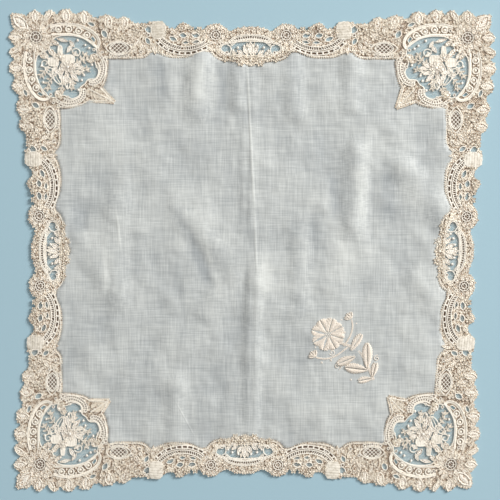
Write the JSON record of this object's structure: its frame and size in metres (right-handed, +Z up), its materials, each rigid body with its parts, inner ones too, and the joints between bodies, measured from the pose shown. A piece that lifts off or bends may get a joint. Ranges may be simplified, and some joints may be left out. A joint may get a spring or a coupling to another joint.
{
  "type": "lace handkerchief",
  "caption": "Square sheer linen handkerchief with a wide lace border, net insets in its corners and sides, and an embroidered flower spray.",
  "frame": {"origin": "centre of the handkerchief's outline, on the surface that it lies on", "axes": "+Z up out of the cloth; +Y towards the upper side of the picture; +X to its right; the embroidered spray is near the +X, -Y corner"},
  "size_m": [0.352, 0.3484, 0.0044],
  "materials": {
    "linen": "sheer plain weave",
    "lace": "matt cream thread",
    "net": "fine open net",
    "thread": "soft embroidery thread"
  },
  "bodies": {
    "root": {"linen_centre": "linen", "embroidered_spray": "thread", "corner_lace_upper_left": "lace", "corner_lace_upper_right": "lace", "corner_lace_lower_right": "lace", "corner_lace_lower_left": "lace", "corner_net_upper_left": "net", "corner_net_upper_right": "net", "corner_net_lower_right": "net", "corner_net_lower_left": "net", "side_lace_upper": "lace", "side_lace_right": "lace", "side_lace_lower": "lace", "side_lace_left": "lace", "side_net_upper": "net", "side_net_right": "net", "side_net_lower": "net", "side_net_left": "net"}
  },
  "joints": []
}
